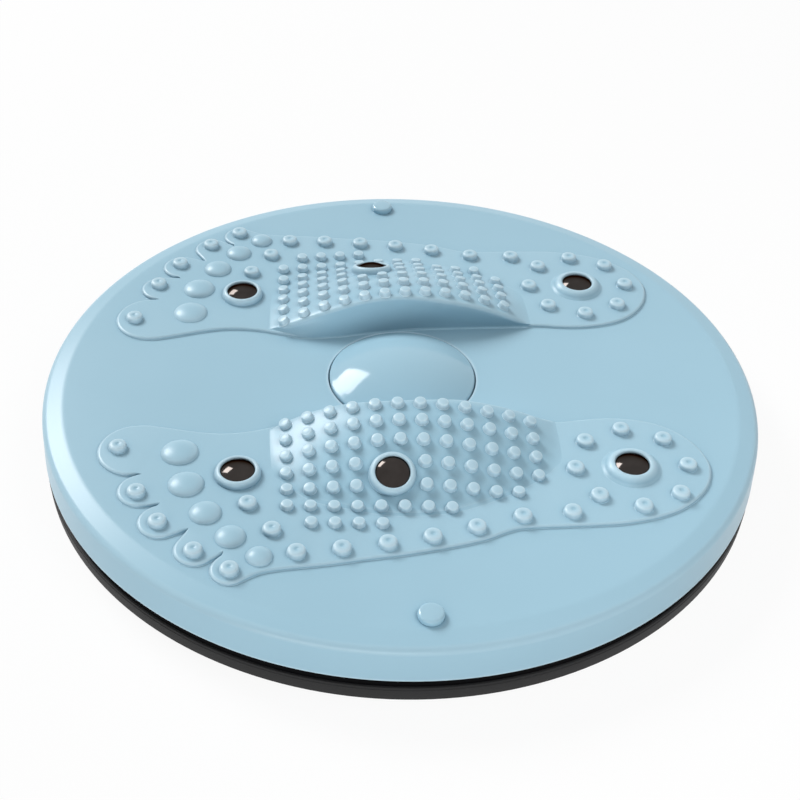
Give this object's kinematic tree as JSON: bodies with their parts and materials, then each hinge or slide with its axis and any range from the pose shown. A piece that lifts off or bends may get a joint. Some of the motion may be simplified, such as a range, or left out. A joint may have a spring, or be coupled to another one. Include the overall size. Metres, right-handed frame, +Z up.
{
  "type": "waist twisting disc",
  "caption": "Round standing disc that twists on a ball race, with raised foot shapes, massage nubs, chrome magnet domes and a black anti-slip base.",
  "frame": {"origin": "on the floor, at the spin axis", "axes": "+Z up along the spin axis, toes of the foot shapes at -X and heels at +X, the user's left foot at -Y"},
  "size_m": [0.3, 0.3, 0.0456],
  "materials": {
    "black_plastic": "moulded black plastic, fine satin",
    "soft_grip": "soft dark grey rubber, matt",
    "race_steel": "pressed steel, lightly oiled",
    "zinc_steel": "zinc plated",
    "white_nylon": "natural nylon",
    "ball_steel": "polished ball steel",
    "blue_shell": "light blue gloss, fine moulding waviness",
    "blue_cap": "light blue high gloss",
    "blue_plug": "light blue gloss",
    "magnet_chrome": "black-nickel chrome, polished"
  },
  "bodies": {
    "base": {"base_plate": "black_plastic", "anti_slip_ring": "soft_grip", "lower_race": "race_steel", "lower_race_screws": "zinc_steel", "pivot_bolt": "zinc_steel", "pivot_sleeve": "white_nylon", "glide_washer": "white_nylon", "steel_washer": "zinc_steel", "lock_nut": "zinc_steel"},
    "cage": {"ball_cage": "white_nylon", "bearing_balls": "ball_steel"},
    "platform": {"top_plate": "blue_shell", "centre_cap": "blue_cap", "front_hole_plug": "blue_plug", "back_hole_plug": "blue_plug", "left_toe_magnet": "magnet_chrome", "right_toe_magnet": "magnet_chrome", "left_arch_magnet": "magnet_chrome", "right_arch_magnet": "magnet_chrome", "left_heel_magnet": "magnet_chrome", "right_heel_magnet": "magnet_chrome", "magnet_retainers": "white_nylon", "upper_race": "race_steel", "upper_race_screws": "zinc_steel"}
  },
  "joints": [
    {"name": "platform_spin", "type": "hinge", "parent": "base", "child": "platform", "pos_m": [0, 0, 0.0204], "axis": [0, 0, 1], "continuous": true},
    {"name": "cage_spin", "type": "hinge", "parent": "base", "child": "cage", "pos_m": [0, 0, 0.015], "axis": [0, 0, 1], "continuous": true}
  ],
  "couplings": [
    {"joint": "cage_spin", "follows": "platform_spin", "ratio": 0.5}
  ]
}
